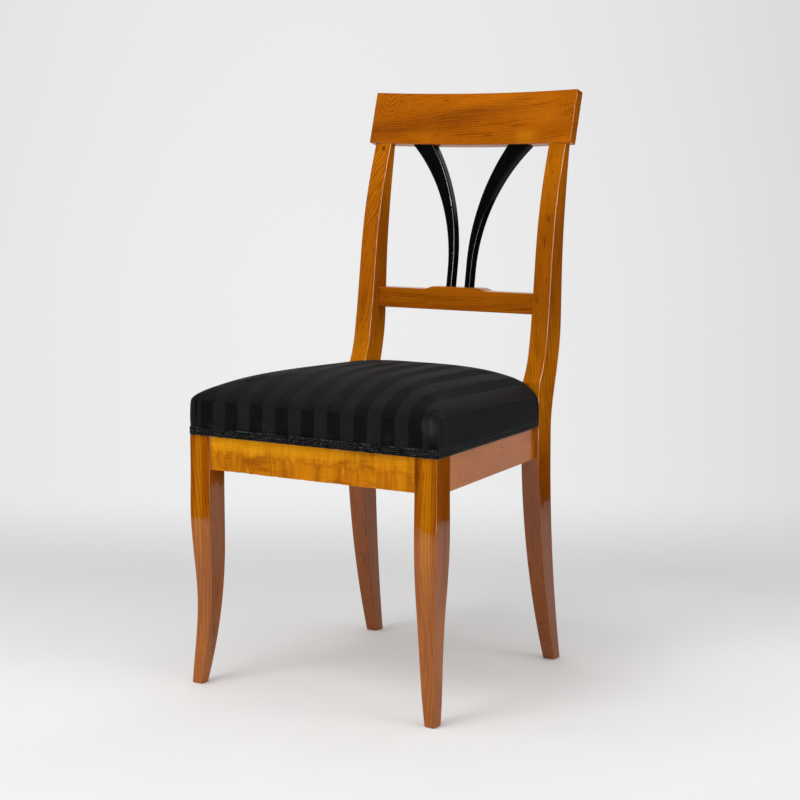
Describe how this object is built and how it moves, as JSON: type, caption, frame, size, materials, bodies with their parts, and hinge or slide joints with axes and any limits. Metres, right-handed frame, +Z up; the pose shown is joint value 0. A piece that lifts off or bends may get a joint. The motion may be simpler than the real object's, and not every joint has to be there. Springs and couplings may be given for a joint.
{
  "type": "side chair",
  "caption": "Biedermeier side chair in polished cherry with sabre legs, bowed crest rail, a pair of spreading black splats and a crowned seat stuffed over its rails.",
  "frame": {"origin": "on the floor under the middle of the chair's bounding box", "axes": "+Z up, the chair faces -Y, +X is the right-hand side seen from the front"},
  "size_m": [0.445, 0.4914, 0.8997],
  "materials": {
    "cherry": "shellac polished cherry, high gloss",
    "cherry_veneer": "shellac polished curly cherry veneer, high gloss",
    "beech": "plain planed hardwood",
    "pine": "sawn softwood, glued",
    "ebonised": "ebonised and shellac polished, high gloss",
    "jute_webbing": "woven jute with a herringbone",
    "hessian": "open plain weave",
    "stuffing": "curled hair in scrim",
    "striped_satin": "black satin stripe, alternately matt and shining",
    "gimp": "black braided gimp"
  },
  "bodies": {
    "root": {"base_hessian": "hessian", "corner_block_front_left": "pine", "corner_block_front_right": "pine", "corner_block_rear_left": "pine", "corner_block_rear_right": "pine", "crest_rail": "cherry", "first_stuffing": "stuffing", "front_leg_left": "cherry", "front_leg_right": "cherry", "front_rail": "beech", "front_rail_veneer": "cherry_veneer", "gimp_back": "gimp", "gimp_front_and_sides": "gimp", "mid_rail": "cherry", "rear_post_left": "cherry", "rear_post_right": "cherry", "rear_rail": "cherry", "seat_cover": "striped_satin", "side_rail_left": "cherry", "side_rail_right": "cherry", "splat_left": "ebonised", "splat_right": "ebonised", "top_stuffing": "stuffing", "webbing_crosswise": "jute_webbing", "webbing_lengthwise": "jute_webbing"}
  },
  "joints": []
}
